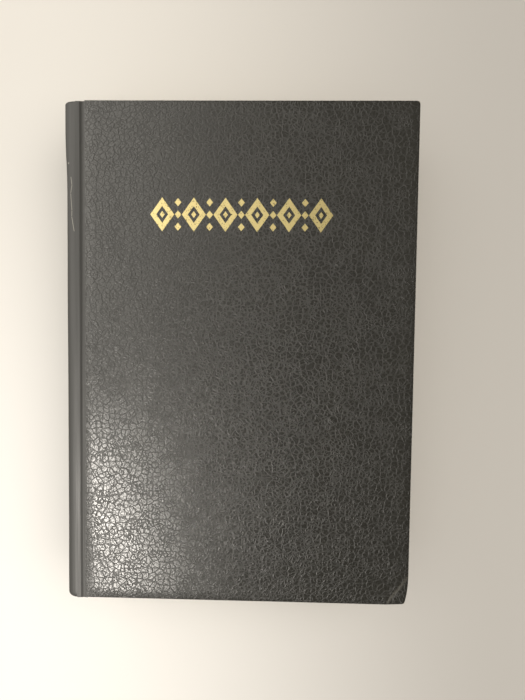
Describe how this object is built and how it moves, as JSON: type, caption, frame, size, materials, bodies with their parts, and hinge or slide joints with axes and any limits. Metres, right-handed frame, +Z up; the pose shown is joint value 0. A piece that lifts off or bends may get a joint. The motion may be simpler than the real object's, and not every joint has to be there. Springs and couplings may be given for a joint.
{
  "type": "hardcover bible",
  "caption": "Thick case-bound book in black leatherette with a foil ornament, covers and block that open on joints.",
  "frame": {"origin": "centre of the case's outline at the outer face of the back cover, on which the book lies", "axes": "+Z up through the thickness towards the front cover, +Y towards the head of the book, +X from the spine to the fore-edge"},
  "size_m": [0.1456, 0.211, 0.0394],
  "materials": {
    "leatherette": "black embossed leatherette, satin",
    "grey_board": "uncoated grey board",
    "infill_card": "thin uncoated card",
    "book_paper": "thin uncoated book paper, off-white",
    "endpaper": "smooth uncoated endpaper",
    "kraft_paper": "brown kraft lining",
    "mull_cloth": "open cotton gauze, glued",
    "band_cloth": "woven cotton band",
    "thread": "white sewing thread",
    "gold_foil": "hot-stamped gold foil"
  },
  "bodies": {
    "root": {"back_board": "grey_board", "back_leatherette": "leatherette", "back_infill_card": "infill_card", "back_mull_flap": "mull_cloth", "back_pastedown": "endpaper", "back_flyleaf": "endpaper", "rear_joint": "leatherette", "rear_sewing": "thread", "section_1": "book_paper", "section_2": "book_paper", "section_3": "book_paper", "section_4": "book_paper", "section_5": "book_paper", "section_6": "book_paper", "section_7": "book_paper", "section_8": "book_paper", "section_9": "book_paper", "section_10": "book_paper"},
    "spine": {"spine_board": "grey_board", "spine_leatherette": "leatherette", "spine_lining": "kraft_paper", "mull": "mull_cloth", "headband": "band_cloth", "tailband": "band_cloth"},
    "front_half": {"front_sewing": "thread", "front_joint": "leatherette", "front_flyleaf_tip": "endpaper", "section_11": "book_paper", "section_12": "book_paper", "section_13": "book_paper", "section_14": "book_paper", "section_15": "book_paper", "section_16": "book_paper", "section_17": "book_paper", "section_18": "book_paper", "section_19": "book_paper", "section_20": "book_paper"},
    "front_flyleaf": {"front_flyleaf": "endpaper"},
    "front_cover": {"front_board": "grey_board", "front_leatherette": "leatherette", "front_infill_card": "infill_card", "front_mull_flap": "mull_cloth", "front_pastedown": "endpaper", "foil_ornament": "gold_foil"}
  },
  "joints": [
    {"name": "spine_hinge", "type": "hinge", "parent": "root", "child": "spine", "pos_m": [-0.0728, 0, 0], "axis": [0, -1, 0], "range_deg": [0, 90]},
    {"name": "middle_opening", "type": "hinge", "parent": "spine", "child": "front_half", "pos_m": [-0.0728, 0, 0.0394], "axis": [0, -1, 0], "range_deg": [0, 90]},
    {"name": "cover_hinge", "type": "hinge", "parent": "front_half", "child": "front_cover", "pos_m": [-0.06715, 0, 0.0397], "axis": [0, -1, 0], "range_deg": [0, 175]},
    {"name": "flyleaf_fold", "type": "hinge", "parent": "front_half", "child": "front_flyleaf", "pos_m": [-0.0616, 0, 0.0359], "axis": [0, -1, 0], "range_deg": [0, 87.5]}
  ],
  "couplings": [
    {"joint": "middle_opening", "follows": "spine_hinge", "ratio": 1},
    {"joint": "flyleaf_fold", "follows": "cover_hinge", "ratio": 0.5}
  ]
}
